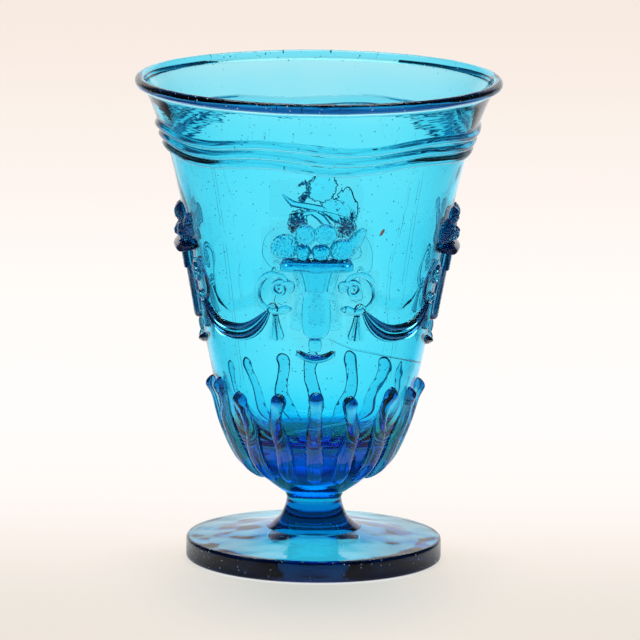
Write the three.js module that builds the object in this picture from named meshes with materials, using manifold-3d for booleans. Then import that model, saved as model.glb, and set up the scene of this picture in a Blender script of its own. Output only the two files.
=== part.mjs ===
// A footed vase in thick turquoise glass: a flared bowl with three wavy threads under its lip, four urn
// reliefs hung with swags, sixteen wavy ribs round its base, and a waisted stem on a thick round foot.
// Millimetres, +Z up, origin at the centre of the foot's underside, front towards -Y.
import * as THREE from "three";
import { mergeVertices } from "three/addons/utils/BufferGeometryUtils.js";
import Module from "manifold-3d";

const wasm = await Module();
wasm.setup();

// Driving dimensions
const lipHeight = 190;
const lipBeadRadius = 2;
const lipCentreRadius = 69.4;
const jointHeight = 26; // where the bowl meets the stem
const jointRadius = 11.6;
const seatHeight = 12; // where the stem meets the foot
const seatRadius = 18.4;
const footRadius = 50;
const footEdgeHeight = 8.3;
const restRadius = 40; // inner edge of the flat ring the vase stands on
const hollowDepth = 4.2; // of the cone under the foot
const floorHeight = 46.6; // of the bowl's inside
const fusedGap = 0.3; // left between pieces that are fused on the real vase
const ribFoot = 33;
const ribHead = 71.8;
const urnTop = 124; // underside of the urn's rim
const urnBottom = 95.3;
const rimThickness = 4.2;
const scrollRadius = 7;

const bowlSides = 48;
const stemSides = 32;
const urnCount = 4;
const ribCount = 16;
const degrees = Math.PI / 180;

// Height and radius of the bowl's outer wall, from the stem joint to the lip
const wallRadius = curveThrough([
  [jointHeight, jointRadius],
  [31, 18.6],
  [38, 27],
  [50, 33.4],
  [64, 38],
  [86, 42.9],
  [126, 50.3],
  [158, 57.1],
  [174, 62.9],
  [182, 66.2],
  [187, 69.2],
]);
// Height and radius of the bowl's inner wall, from the edge of its floor to the lip
const cavityRadius = curveThrough([
  [46.9, 7],
  [47.7, 15],
  [49.8, 23],
  [54, 28.8],
  [64, 34.3],
  [86, 39.8],
  [126, 47.3],
  [158, 54.3],
  [174, 60],
  [182, 63.6],
  [187.6, 67.4],
]);

const bowlGlass = new THREE.MeshStandardMaterial({ color: 0x2fb4dc, roughness: 0.05, metalness: 0 });
const reliefGlass = new THREE.MeshStandardMaterial({ color: 0x2390c8, roughness: 0.08, metalness: 0 });
const footGlass = new THREE.MeshStandardMaterial({ color: 0x1c5f9c, roughness: 0.06, metalness: 0 });

// A smooth function of x through [x, y] points, level outside them
function curveThrough(points) {
  const slope = (i) => {
    const [x0, y0] = points[Math.max(i - 1, 0)];
    const [x1, y1] = points[Math.min(i + 1, points.length - 1)];
    return (y1 - y0) / (x1 - x0);
  };
  return (x) => {
    const above = points.findIndex((point) => point[0] > x);
    const i = above < 0 ? points.length - 2 : Math.max(above - 1, 0);
    const [x0, y0] = points[i];
    const [x1, y1] = points[i + 1];
    const span = x1 - x0;
    const t = THREE.MathUtils.clamp((x - x0) / span, 0, 1);
    const u = 1 - t;
    const level = y0 * u * u * (1 + 2 * t) + y1 * t * t * (1 + 2 * u);
    return level + span * t * u * (slope(i) * u - slope(i + 1) * t);
  };
}

// A closed geometry with its shared vertices merged
function closed(geometry) {
  const bare = geometry.clone();
  bare.deleteAttribute("normal");
  bare.deleteAttribute("uv");
  return mergeVertices(bare, 1e-4);
}

// Joins overlapping closed geometries into one
function joined(geometries) {
  const solids = geometries.map((geometry) => {
    const vertProperties = geometry.attributes.position.array;
    const triVerts = new Uint32Array(geometry.index.array);
    return new wasm.Manifold(new wasm.Mesh({ numProp: 3, vertProperties, triVerts }));
  });
  const result = solids.reduce((all, solid) => all.add(solid)).getMesh();
  const geometry = new THREE.BufferGeometry();
  geometry.setAttribute("position", new THREE.BufferAttribute(result.vertProperties, 3));
  geometry.setIndex(new THREE.BufferAttribute(result.triVerts, 1));
  return geometry;
}

// [radius, height] pairs turned about +Z
function turned(profile, sides) {
  const points = profile.map(([radius, height]) => new THREE.Vector2(radius, height));
  return new THREE.LatheGeometry(points, sides).rotateX(Math.PI / 2);
}

// A point that stands off the bowl's wall by the given height, square to it.
// Azimuth 0 is the front and 90 degrees is the right.
function offTheWall(azimuth, height, stand) {
  const reach = 0.2;
  const lean = (wallRadius(height + reach) - wallRadius(height - reach)) / (2 * reach);
  const out = (fusedGap + stand) / Math.hypot(1, lean);
  const radius = wallRadius(height) + out;
  return new THREE.Vector3(radius * Math.sin(azimuth), -radius * Math.cos(azimuth), height - out * lean);
}

// Lays a geometry made round the origin on the bowl's wall. place turns its x, y and z into s along the
// wall, z up it and stand off it. What lies behind z 0 is pressed flat on the wall.
function onTheWall(geometry, azimuth, place) {
  const laid = closed(geometry);
  const position = laid.attributes.position;
  for (let i = 0; i < position.count; i++) {
    const { s, z, stand } = place(position.getX(i), position.getY(i), Math.max(0, position.getZ(i)));
    const point = offTheWall(azimuth + s / wallRadius(z), z, stand);
    position.setXYZ(i, point.x, point.y, point.z);
  }
  return closed(laid);
}

// A raised strip along path(t), t from 0 to 1. path gives its middle s and z, its half width and its rise.
// section scales the rise across it, from -1 at one edge to 1 at the other.
function strip(azimuth, { path, steps, sides = 6, section = () => 1 }) {
  const step = 0.01;
  return onTheWall(new THREE.CylinderGeometry(1, 1, 1, sides, steps), azimuth, (x, y, out) => {
    const t = y + 0.5;
    const here = path(t);
    const before = path(Math.max(t - step, 0));
    const after = path(Math.min(t + step, 1));
    const along = new THREE.Vector2(after.s - before.s, after.z - before.z).normalize();
    return {
      s: here.s + along.y * x * here.half,
      z: here.z - along.x * x * here.half,
      stand: here.rise * out * section(x),
    };
  });
}

// A domed oval boss centred at s and z, turned by an angle in the wall's plane
function boss(azimuth, { s, z, wide, high, rise, turn = 0, sides = 10 }) {
  const dome = new THREE.SphereGeometry(1, sides, 4).rotateX(Math.PI / 2);
  return onTheWall(dome, azimuth, (x, y, out) => ({
    s: s + x * wide * Math.cos(turn) - y * high * Math.sin(turn),
    z: z + x * wide * Math.sin(turn) + y * high * Math.cos(turn),
    stand: rise * out,
  }));
}

// Bowl: outer wall, rolled lip and inner wall in one closed turn
function bowl() {
  const profile = [[0, jointHeight]];
  for (const height of [26, 28.5, 31, 34, 38, 43, 50, 57, 64, 75, 86, 106, 126, 142, 158, 174, 182, 186])
    profile.push([wallRadius(height), height]);
  for (const angle of [-40, 0, 45, 90, 140])
    profile.push([
      lipCentreRadius + lipBeadRadius * Math.cos(angle * degrees),
      lipHeight - lipBeadRadius * (1 - Math.sin(angle * degrees)),
    ]);
  for (const height of [186, 182, 174, 158, 126, 86, 64, 54, 49.8, 47.7, 46.9])
    profile.push([cavityRadius(height), height]);
  profile.push([0, floorHeight]);
  return turned(profile, bowlSides);
}

// A wavy thread laid round the bowl under the lip, made from a ring whose radius is ten times its tube
function thread(height, stray) {
  const halfWidth = 1.5;
  const stand = 1.35;
  const ringRadius = 10;
  const wave = (azimuth) => 0.95 * Math.cos(6 * azimuth + 1.9) + 0.35 * Math.cos(5 * azimuth - 5.2);
  const ring = closed(new THREE.TorusGeometry(ringRadius, 1, 6, bowlSides));
  const position = ring.attributes.position;
  for (let i = 0; i < position.count; i++) {
    const azimuth = Math.atan2(position.getY(i), position.getX(i));
    const out = Math.max(0, Math.hypot(position.getX(i), position.getY(i)) - ringRadius);
    const up = height + wave(azimuth + stray * degrees) + halfWidth * position.getZ(i);
    const point = offTheWall(azimuth, up, stand * out);
    position.setXYZ(i, point.x, point.y, point.z);
  }
  return closed(ring);
}

// A wavy rib that rises from the base of the bowl to a rounded head
function rib(index) {
  const sway = 0.9;
  const waves = 1.3;
  const halfWidth = curveThrough([
    [0, 2.2],
    [0.15, 3.3],
    [0.45, 3.9],
    [0.75, 3.3],
    [0.88, 3.4],
    [0.95, 3],
    [0.985, 2.1],
    [1, 1.3],
  ]);
  const rise = curveThrough([
    [0, 0.5],
    [0.2, 1.9],
    [0.7, 2.5],
    [0.88, 3],
    [0.95, 2.6],
    [0.985, 1.6],
    [1, 0.8],
  ]);
  const path = (share) => {
    const t = 1 - (1 - share) ** 1.6; // rows crowd towards the rounded head
    return {
      s: sway * t * Math.sin(2 * Math.PI * waves * t + 2.4 * index),
      z: ribFoot + (ribHead - ribFoot) * t,
      half: halfWidth(t),
      rise: rise(t),
    };
  };
  return strip((2 * Math.PI * index) / ribCount, { path, steps: 11 });
}

// Body of an urn: a long rounded pouch in front of a flat flared apron
function urnBody(azimuth) {
  const top = urnTop - fusedGap;
  const pouchHalf = curveThrough([
    [0, 1.6],
    [0.04, 3.4],
    [0.16, 5.6],
    [0.4, 6],
    [0.75, 5.6],
    [1, 6.4],
  ]);
  const pouchRise = curveThrough([
    [0, 0.9],
    [0.16, 3.3],
    [1, 3.6],
  ]);
  const apronHalf = curveThrough([
    [0, 11.4],
    [0.4, 9.4],
    [0.72, 7.6],
    [1, 10.6],
  ]);
  const pouch = (t) => ({ s: 0, z: urnBottom + (top - urnBottom) * t, half: pouchHalf(t), rise: pouchRise(t) });
  const apronBottom = urnBottom + 3;
  const apron = (t) => ({ s: 0, z: apronBottom + (top - apronBottom) * t, half: apronHalf(t), rise: 1.5 });
  return joined([
    strip(azimuth, { path: pouch, steps: 9, sides: 8 }),
    strip(azimuth, { path: apron, steps: 6, sides: 8 }),
  ]);
}

// The thick flat rim that closes the top of an urn and carries its fruit
function urnRim(azimuth) {
  const halfLength = 13.5;
  const path = (t) => ({
    s: halfLength * (2 * t - 1),
    z: urnTop + rimThickness / 2,
    half: (rimThickness / 2) * (1 - 0.4 * Math.abs(2 * t - 1) ** 6),
    rise: 5.9,
  });
  return strip(azimuth, { path, steps: 8 });
}

// Fruit heaped on the rim: bosses that run together
function urnFruit(azimuth) {
  const fruit = [
    { s: -11.6, z: 133, wide: 6, high: 4.3, rise: 3.4 },
    { s: -0.4, z: 137.2, wide: 8, high: 4.8, rise: 3 },
    { s: -4.6, z: 132, wide: 3.8, high: 3.5, rise: 4.4 },
    { s: 2, z: 132, wide: 4.6, high: 3.5, rise: 4.6 },
    { s: 10.9, z: 133.2, wide: 7.4, high: 4, turn: 0.42, rise: 3.6 },
  ];
  return joined(fruit.map((one) => boss(azimuth, one)));
}

// Knop and dished foot that an urn stands on
function urnFoot(azimuth) {
  const path = (t) => ({
    s: 7.4 * (2 * t - 1),
    z: 88.6 + 1.4 * (2 * t - 1) ** 2,
    half: 2.3 - 1.2 * (2 * t - 1) ** 4,
    rise: 3 - 1.6 * (2 * t - 1) ** 4,
  });
  const knop = boss(azimuth, { s: 0, z: 92.5, wide: 2.6, high: 2.4, rise: 2.6, sides: 8 });
  return joined([knop, strip(azimuth, { path, steps: 6 })]);
}

// A handle that scrolls out from the urn and back to it, round a volute. hand is -1 for left and 1 for right.
function urnHandle(azimuth, hand) {
  const centre = new THREE.Vector2(16.4, 114);
  const stops = 8;
  const points = [new THREE.Vector2(10.9, 119.2)];
  for (let i = 0; i < stops; i++) {
    const angle = THREE.MathUtils.lerp(105, -100, i / (stops - 1)) * degrees;
    const onScroll = new THREE.Vector2(Math.cos(angle), Math.sin(angle)).multiplyScalar(scrollRadius);
    points.push(onScroll.add(centre));
  }
  points.push(new THREE.Vector2(11.4, 108.2));
  const line = new THREE.SplineCurve(points);
  const path = (t) => {
    const point = line.getPoint(t);
    return { s: hand * point.x, z: point.y, half: 1.9 - 0.5 * Math.min(1, 4 * t), rise: 2.3 };
  };
  const volute = { s: 13.4 * hand, z: 116.1, wide: 3.5, high: 3.6, rise: 2.6, sides: 8 };
  return joined([strip(azimuth, { path, steps: 16 }), boss(azimuth, volute)]);
}

// A pleated tassel that hangs from the foot of a handle
function tassel(azimuth, hand) {
  const path = (t) => ({ s: 15.7 * hand, z: 95.2 + 9.2 * t, half: 3.4 - 2.2 * t, rise: 2.2 - 0.5 * t });
  const pleats = (v) => 0.8 + 0.2 * Math.cos(2 * Math.PI * v);
  return strip(azimuth, { path, steps: 3, sides: 10, section: pleats });
}

// A swag of folds that hangs between two urns, a little deeper to one side of its middle
function swag(azimuth) {
  const reach = 20.6 * degrees;
  const lowest = 95.1;
  const drop = 8.6;
  const lean = 0.06;
  const path = (t) => {
    const u = 2 * t - 1;
    const z = lowest + drop * u * u;
    const turn = (u + lean * (1 - u * u)) * reach;
    return { s: turn * wallRadius(z), z, half: 3.5 - 2.7 * u * u, rise: 2.4 - 0.9 * u * u };
  };
  const folds = (v) => 0.75 + 0.25 * Math.cos(3 * Math.PI * v);
  return strip(azimuth, { path, steps: 13, sides: 14, section: folds });
}

// Waisted stem between the bowl's joint and the foot's seat
function stem() {
  const base = seatHeight + fusedGap;
  const top = jointHeight - fusedGap;
  const waist = curveThrough([
    [base, 18.2],
    [13.6, 16.1],
    [16, 13.5],
    [19.2, 11.8],
    [22.6, 10.8],
    [24.4, 10.8],
    [top, 11.4],
  ]);
  const profile = [[0, base]];
  for (const height of [base, 13.2, 14.4, 16, 18.4, 21, 24, top]) profile.push([waist(height), height]);
  profile.push([0, top]);
  return turned(profile, stemSides);
}

// Thick disc foot with a sloping top, a near upright edge and a shallow cone hollowed out below
function foot() {
  return turned(
    [
      [0, hollowDepth + 0.4],
      [8, hollowDepth],
      [restRadius, 0],
      [footRadius - 0.9, 0],
      [footRadius - 0.1, 0.8],
      [footRadius, footEdgeHeight / 2],
      [footRadius - 0.2, footEdgeHeight - 0.9],
      [footRadius - 1, footEdgeHeight],
      [36, 9.4],
      [26, 10.7],
      [seatRadius, seatHeight],
      [0, seatHeight],
    ],
    bowlSides,
  );
}

const vase = new THREE.Group();

function addPiece(name, geometry, material) {
  const mesh = new THREE.Mesh(geometry, material);
  mesh.name = name;
  vase.add(mesh);
}

addPiece("foot", foot(), footGlass);
addPiece("stem", stem(), footGlass);
addPiece("bowl", bowl(), bowlGlass);
addPiece("thread_upper", thread(171.1, 0), reliefGlass);
addPiece("thread_middle", thread(167, -2), reliefGlass);
addPiece("thread_lower", thread(163.1, 2), reliefGlass);
for (let i = 0; i < ribCount; i++) addPiece(`rib_${String(i + 1).padStart(2, "0")}`, rib(i), reliefGlass);
const faces = ["front", "right", "back", "left"];
for (const [i, face] of faces.entries()) {
  const azimuth = (2 * Math.PI * i) / urnCount;
  addPiece(`urn_${face}_body`, urnBody(azimuth), reliefGlass);
  addPiece(`urn_${face}_rim`, urnRim(azimuth), reliefGlass);
  addPiece(`urn_${face}_fruit`, urnFruit(azimuth), reliefGlass);
  addPiece(`urn_${face}_foot`, urnFoot(azimuth), reliefGlass);
  for (const [side, hand] of [
    ["left", -1],
    ["right", 1],
  ]) {
    addPiece(`urn_${face}_handle_${side}`, urnHandle(azimuth, hand), reliefGlass);
    addPiece(`tassel_${face}_${side}`, tassel(azimuth, hand), reliefGlass);
  }
  addPiece(`swag_${face}_${faces[(i + 1) % urnCount]}`, swag(azimuth + Math.PI / urnCount), reliefGlass);
}

export default vase;
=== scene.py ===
import math

import bmesh
import bpy
from mathutils import Matrix, Vector, noise


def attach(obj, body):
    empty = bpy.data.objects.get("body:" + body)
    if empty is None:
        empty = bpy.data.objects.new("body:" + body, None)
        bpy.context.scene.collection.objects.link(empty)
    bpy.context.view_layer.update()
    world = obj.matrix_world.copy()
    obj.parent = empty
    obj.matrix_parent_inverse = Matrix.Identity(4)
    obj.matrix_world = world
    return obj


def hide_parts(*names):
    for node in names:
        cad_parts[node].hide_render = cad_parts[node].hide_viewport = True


# A footed turquoise glass vase on a plain pale floor.
# Shapes are drawn in millimetres and turned to metres when a piece is finished.

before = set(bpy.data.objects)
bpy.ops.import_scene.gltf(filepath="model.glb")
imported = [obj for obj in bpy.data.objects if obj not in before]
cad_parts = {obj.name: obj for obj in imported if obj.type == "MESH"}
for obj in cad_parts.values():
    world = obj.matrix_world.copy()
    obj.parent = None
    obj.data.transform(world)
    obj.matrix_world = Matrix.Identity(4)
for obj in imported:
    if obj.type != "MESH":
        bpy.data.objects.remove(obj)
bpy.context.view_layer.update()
mm = 0.001
faces = ["front", "right", "back", "left"]
print("frame loaded")

# Curves, and the wall that everything lies on


def steps(low, high, count):
    return [low + (high - low) * i / count for i in range(count + 1)]


def curveThrough(points):
    # a smooth function of x through [x, y] points, level outside them
    def slope(i):
        x0, y0 = points[max(i - 1, 0)]
        x1, y1 = points[min(i + 1, len(points) - 1)]
        return (y1 - y0) / (x1 - x0)

    slopes = [slope(i) for i in range(len(points))]

    def value(x):
        if x <= points[0][0]:
            return points[0][1]
        if x >= points[-1][0]:
            return points[-1][1]
        i = max(k for k in range(len(points) - 1) if points[k][0] <= x)
        (x0, y0), (x1, y1) = points[i], points[i + 1]
        span = x1 - x0
        t = (x - x0) / span
        u = 1 - t
        level = y0 * u * u * (1 + 2 * t) + y1 * t * t * (1 + 2 * u)
        return level + span * t * u * (slopes[i] * u - slopes[i + 1] * t)

    return value


bowlSizes = {
    # [height, radius] of the outer wall and the inner one
    "outer": [[26, 11.6], [31, 18.6], [38, 27], [50, 33.4], [64, 38], [86, 42.9], [126, 50.3],
              [158, 57.1], [174, 62.9], [182, 66.2], [187, 69.2]],
    "inner": [[46.9, 7], [47.7, 15], [49.8, 23], [54, 28.8], [64, 34.3], [86, 39.8], [126, 47.3],
              [158, 54.3], [174, 60], [182, 63.6], [187.6, 67.4]],
    "jointHeight": 26,
    "wallTop": 186,  # where the lip's bead begins outside
    "cavityTop": 186.4,  # and where it ends inside
    "floorHeight": 46.6,
    "floorDip": [4, 0.2],  # radius of the flat of the floor, and how far the curve inside drops to it
    "lipHeight": 190,
    "lipRadius": 69.4,
    "beadRadius": 2,
    "beadArc": [-40, 150],  # degrees
    "waver": 0.12,  # of both walls, and its scale and the height over which it comes in
    "waverScale": 14,
    "waverFade": 3,
    "wander": 0.5,  # of the inner wall alone, its scale, and the height it ends at and fades over
    "wanderScale": 38,
    "wanderTop": 180,
    "wanderFade": 20,
    "sides": 192,
}
cavityRadius = curveThrough(bowlSizes["inner"])
outerRadius = curveThrough(bowlSizes["outer"])
fineness = 4  # entries to a millimetre in the table of the wall's radius
wallTable = [outerRadius(step / fineness) for step in range(200 * fineness)]


def wallRadius(z):
    step = int(z * fineness)
    share = z * fineness - step
    return wallTable[step] * (1 - share) + wallTable[step + 1] * share


def onWall(azimuth, s, z, stand):
    # s millimetres round the wall from an azimuth, z up it, stand off it; azimuth 0 is the front
    reach = 0.2
    lean = (wallRadius(z + reach) - wallRadius(z - reach)) / (2 * reach)
    out = stand / math.hypot(1, lean)
    radius = wallRadius(z)
    turn = math.radians(azimuth) + s / radius
    return Vector(((radius + out) * math.sin(turn), -(radius + out) * math.cos(turn), z - out * lean))


def bump(x, middle, half):
    # 1 at the middle, falling smoothly to 0 at half away from it
    t = min(abs(x - middle) / half, 1)
    return (1 - t * t) ** 2


# Materials


class Socket:
    # wraps a node's output so that shader maths can be written as an expression
    def __init__(self, graph, link):
        self.graph = graph
        self.link = link

    def maths(self, operation, other, swapped=False):
        first, second = (other, self) if swapped else (self, other)
        return self.graph.add("ShaderNodeMath", {"operation": operation}, {0: first, 1: second})

    def __add__(self, other):
        return self.maths("ADD", other)

    def __sub__(self, other):
        return self.maths("SUBTRACT", other)

    def __mul__(self, other):
        return self.maths("MULTIPLY", other)

    def __truediv__(self, other):
        return self.maths("DIVIDE", other)

    def __pow__(self, other):
        return self.maths("POWER", other)

    def __neg__(self):
        return self.maths("MULTIPLY", -1)

    def __abs__(self):
        return self.maths("ABSOLUTE", 0)

    def __lt__(self, other):
        return self.maths("LESS_THAN", other)

    def __gt__(self, other):
        return self.maths("GREATER_THAN", other)

    def __radd__(self, other):
        return self.maths("ADD", other, True)

    def __rsub__(self, other):
        return self.maths("SUBTRACT", other, True)

    def __rmul__(self, other):
        return self.maths("MULTIPLY", other, True)

    def __getitem__(self, output):
        return Socket(self.graph, self.link.node.outputs[output])


class Graph:
    def __init__(self, tree):
        self.tree = tree
        tree.nodes.clear()

    def add(self, kind, settings=None, inputs=None):
        node = self.tree.nodes.new(kind)
        for name, value in (settings or {}).items():
            if name == "stops":
                ramp = node.color_ramp.elements
                while len(ramp) < len(value):
                    ramp.new(0.5)
                for element, (position, colour) in zip(ramp, value):
                    element.position = position
                    element.color = (*colour, 1)
            else:
                setattr(node, name, value)
        for name, value in (inputs or {}).items():
            if isinstance(value, Socket):
                self.tree.links.new(value.link, node.inputs[name])
            else:
                node.inputs[name].default_value = value
        return Socket(self, node.outputs[0]) if node.outputs else None

    def locate(self):
        # the place that is shaded, in metres, and its distance from the upright axis
        self.place = self.add("ShaderNodeTexCoord")["Object"]
        split = self.add("ShaderNodeSeparateXYZ", {}, {"Vector": self.place})
        self.x, self.y, self.z = split["X"], split["Y"], split["Z"]
        self.radius = (self.x * self.x + self.y * self.y) ** 0.5

    def blend(self, share, first, second):
        # a colour between two colours, by the numbers of a Mix node's colour sockets
        return self.add("ShaderNodeMix", {"data_type": "RGBA"}, {0: share, 6: first, 7: second})[2]

    def mixShaders(self, share, first, second):
        return self.add("ShaderNodeMixShader", {}, {0: share, 1: first, 2: second})

    def addShaders(self, first, second):
        return self.add("ShaderNodeAddShader", {}, {0: first, 1: second})

    def diffuse(self, colour):
        return self.add("ShaderNodeBsdfDiffuse", {}, {"Color": colour})

    def glow(self, colour):
        return self.add("ShaderNodeEmission", {}, {"Color": colour, "Strength": 1.0})

    def vectors(self, operation, first, second):
        return self.add("ShaderNodeVectorMath", {"operation": operation}, {0: first, 1: second})

    def dot(self, first, second):
        return self.vectors("DOT_PRODUCT", first, second)["Value"]

    def noise(self, place, scale, detail, distortion=0.0):
        inputs = {"Vector": place, "Scale": scale, "Detail": detail, "Distortion": distortion}
        return self.add("ShaderNodeTexNoise", {}, inputs)

    def cells(self, scale, channel, chance, size):
        # scattered spots: the distance from the nearest, and its size, which a channel of its random colour
        # brings up from nothing between the two values of chance
        cells = self.add("ShaderNodeTexVoronoi", {}, {"Vector": self.place, "Scale": scale})
        colour = self.add("ShaderNodeSeparateColor", {}, {"Color": cells["Color"]})
        return cells["Distance"], self.smooth(colour[channel], *chance) * size

    def between(self, value, low, high):
        return (value > low) * (value < high)

    def smooth(self, value, low, high):
        # 0 below low, 1 above high and a smooth step between
        settings = {"interpolation_type": "SMOOTHSTEP"}
        return self.add("ShaderNodeMapRange", settings, {"Value": value, "From Min": low, "From Max": high})


def newMaterial(name):
    made = bpy.data.materials.new(name)
    made.use_nodes = True
    return made, Graph(made.node_tree)


# each glass: how much red, green and blue a metre of it takes out, how strong its reflections are, and the
# height in metres and the scale of its ripples
glasses = {
    "bowl glass": {"takes": (375, 39, 1), "gloss": 0.15, "ripple": (0.0003, 45)},
    "foot glass": {"takes": (290, 46, 16), "gloss": 0.4, "ripple": (0.0002, 60)},
    "rib glass": {"takes": (400, 72, 26), "gloss": 0.8, "ripple": (0.0001, 90)},
    "relief glass": {"takes": (320, 40, 8), "gloss": 0.8, "ripple": (0.0001, 90)},
    # a darker copy, painted shade for the side urns, which are seen along their depth
    "shaded side relief glass": {"takes": (450, 170, 100), "gloss": 0.8, "ripple": (0.0001, 90)},
}

glassLook = {
    "ior": 1.5,
    # seeds: how close they lie, how many are small, their size, the depth of their dimples and their colour
    "seedScale": 420,
    "seedChance": [0.3, 0.9],
    "seedSize": 0.14,
    "seedDepth": 0.0001,
    "seedTint": (0.02, 0.05, 0.12, 1),
    "seedStrength": 0.9,
    # white specks, in the same way, and how far from the axis they begin in metres
    "speckScale": 500,
    "speckChance": [0.0, 0.6],
    "speckSize": 0.155,
    "speckRadius": 0.045,
    "speckTint": (0.8, 0.85, 0.9, 1),
    # painted shade on a relief's skin: a deeper colour, and a near black where the painted shade and a mottle
    # reach a level
    "shadeTint": (0.1, 0.34, 0.7, 1),
    "skinTint": (0.016, 0.03, 0.1, 1),
    "skinLevel": [1.12, 1.26],
    "mottleScale": 1200,
}


def startGlass(name):
    # a new glass, with the height of its ripples
    depth, scale = glasses[name]["ripple"]
    made, graph = newMaterial(name)
    graph.locate()
    return made, graph, graph.noise(graph.place, scale, 1.5, 0.4) * depth


def addSeeds(graph, height):
    # small bubbles at the surface, dimpled and dark
    look = glassLook
    distance, size = graph.cells(look["seedScale"], "Red", look["seedChance"], look["seedSize"])
    dimple = 1 - graph.smooth(distance / (size + 0.0001), 0.5, 1)  # a size is never quite nothing
    tint = graph.blend(dimple * look["seedStrength"], (1, 1, 1, 1), look["seedTint"])
    return height - dimple * look["seedDepth"], tint


def addSpecks(graph, surface, lowest):
    # white specks above a height
    look = glassLook
    distance, size = graph.cells(look["speckScale"], "Green", look["speckChance"], look["speckSize"])
    speck = (distance < size) * (graph.z > lowest) * (graph.radius > look["speckRadius"])
    return graph.mixShaders(speck, surface, graph.diffuse(look["speckTint"]))


def glassSurface(graph, name, tint, height, roughness=0.0):
    gloss = glasses[name]["gloss"]
    normal = graph.add("ShaderNodeBump", {}, {"Height": height, "Distance": 1.0, "Strength": 1.0})
    return graph.add("ShaderNodeBsdfPrincipled", {}, {
        "Base Color": tint,
        "Roughness": roughness,
        "IOR": glassLook["ior"],
        "Transmission Weight": 1.0,
        "Specular Tint": (gloss, gloss, gloss, 1),
        "Normal": normal,
    })


def finishGlass(graph, name, surface, joints=()):
    # gives the glass its depth of colour. joints are bands of height and a radius in metres where two
    # pieces meet inside one mass of glass, so light goes straight on.
    for low, high, widest in joints:
        inside = graph.between(graph.z, low, high) * (graph.radius < widest)
        clear = graph.add("ShaderNodeBsdfTransparent", {}, {"Color": (1, 1, 1, 1)})
        surface = graph.mixShaders(inside, surface, clear)
    takes = glasses[name]["takes"]
    density = max(takes)
    depth = graph.add("ShaderNodeVolumeAbsorption", {}, {
        "Color": (*[1 - take / density for take in takes], 1),
        "Density": density,
    })
    graph.add("ShaderNodeOutputMaterial", {}, {"Surface": surface, "Volume": depth})


bowlMarks = {
    # all in metres
    "joints": [(-1, 0.02601, 1)],  # its flat bottom, on the stem
    "speckHeight": 0.186,
    # darker, greener tints towards the bottom: a colour, and the heights it fades out between, first outside
    # in front
    "smoke": [((0.8, 0.78, 0.3, 1), 0.053, 0.06), ((0.6, 0.5, 0.14, 1), 0.0325, 0.036)],
    "smokeRadius": 0.0295,
    "smokeFront": [-0.01, 0.01],
    "lipTint": (0.8, 0.89, 0.93, 1),  # painted shade on the back of the lip
    "lipHeights": [0.166, 0.172],
    "floorTint": (0.3, 0.32, 0.5, 1),  # painted shade on the bottom inside, which is a little rough
    "floorRoughness": 0.22,
    "floorRadius": 0.0265,
    "floorHeights": [0.046, 0.0486],
    "beadTint": (0.06, 0.14, 0.36, 1),  # painted shade on the front of the bead
    "beadHeights": [0.1864, 0.1892],
    "beadFront": [-0.02, 0.02],
    # streaks drawn out round the lip
    "streakScale": 40,
    "streakDepth": 0.00007,
    "streakHeights": [0.17, 0.176],
    # the cords lie in planes: what X, Y and Z are weighed with, and the sum, and the X they run between
    "cords": [([(0.434, 0.187, 1, 0.0889), (0.194, 0.187, 1, 0.0856)], 0.005, 0.05),
              ([(-0.203, 0.187, 1, 0.0517)], -0.012, 0.0135)],
    "cordHalf": [0.00002, 0.00016],
    "cordDepth": 0.00008,
    "cordStrength": 0.25,
    # the mould's seams, which are broken by a noise
    "seamHalf": [0.000048, 0.00016],
    "seamDepth": 0.0001,
    "seamStrength": 0.4,
    "seamScale": 120,
    "seamLevel": [0.42, 0.55],
    "seamHeights": [0.075, 0.16],
    # a brown stone: its place, the way it points, across it, and its half length and width
    "stone": (0.025, -0.0462, 0.137),
    "stoneAxes": [((0.41, 0.22, 0.88), 0.0015), ((0.77, 0.42, -0.47), 0.0007), ((0.476, -0.88, 0), 0.0015)],
    "stoneTint": (0.42, 0.24, 0.18, 1),
}


def bowlTints(graph, tint):
    # darker tints towards the bottom, and painted shade on the back of the lip, the bottom inside and the
    # front of the bead
    marks = bowlMarks
    outside = (graph.radius > marks["smokeRadius"]) * graph.smooth(-graph.y, *marks["smokeFront"])
    for share, (colour, low, high) in zip((outside, 1), marks["smoke"]):
        tint = graph.blend((1 - graph.smooth(graph.z, low, high)) * share, tint, colour)
    # painted shade on the back of the lip
    lip = graph.smooth(graph.z, *marks["lipHeights"]) * (graph.y > 0)
    tint = graph.blend(lip, tint, marks["lipTint"])
    # painted shade on the bottom inside
    floor = (graph.radius < marks["floorRadius"]) * graph.between(graph.z, *marks["floorHeights"])
    tint = graph.blend(floor, tint, marks["floorTint"])
    # painted shade on the front of the bead
    bead = graph.between(graph.z, *marks["beadHeights"]) * graph.smooth(-graph.y, *marks["beadFront"])
    return graph.blend(bead, tint, marks["beadTint"]), floor * marks["floorRoughness"]


def bowlLines(graph, height, tint):
    # streaks, cords and seams
    marks = bowlMarks
    streaks = graph.noise(graph.vectors("MULTIPLY", graph.place, (1, 1, 10)), marks["streakScale"], 2)
    height = height + streaks * marks["streakDepth"] * graph.smooth(graph.z, *marks["streakHeights"])
    for planes, start, end in marks["cords"]:
        front = (graph.y < 0) * graph.between(graph.x, start, end)
        fits = [graph.z * z + graph.x * x + graph.y * y - total for x, y, z, total in planes]
        fit = fits[0] if len(fits) == 1 else fits[0].maths("MINIMUM", fits[1])
        cord = (1 - graph.smooth(abs(fit), *marks["cordHalf"])) * front
        height = height + cord * marks["cordDepth"]
        tint = graph.blend(cord * marks["cordStrength"], tint, glassLook["seedTint"])
    patchy = graph.smooth(graph.noise(graph.place, marks["seamScale"], 2), *marks["seamLevel"])
    seam = 1 - graph.smooth(abs(abs(graph.x) - abs(graph.y)), *marks["seamHalf"])
    seam = seam * patchy * graph.between(graph.z, *marks["seamHeights"])
    height = height + seam * marks["seamDepth"]
    return height, graph.blend(seam * marks["seamStrength"], tint, glassLook["seedTint"])


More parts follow.
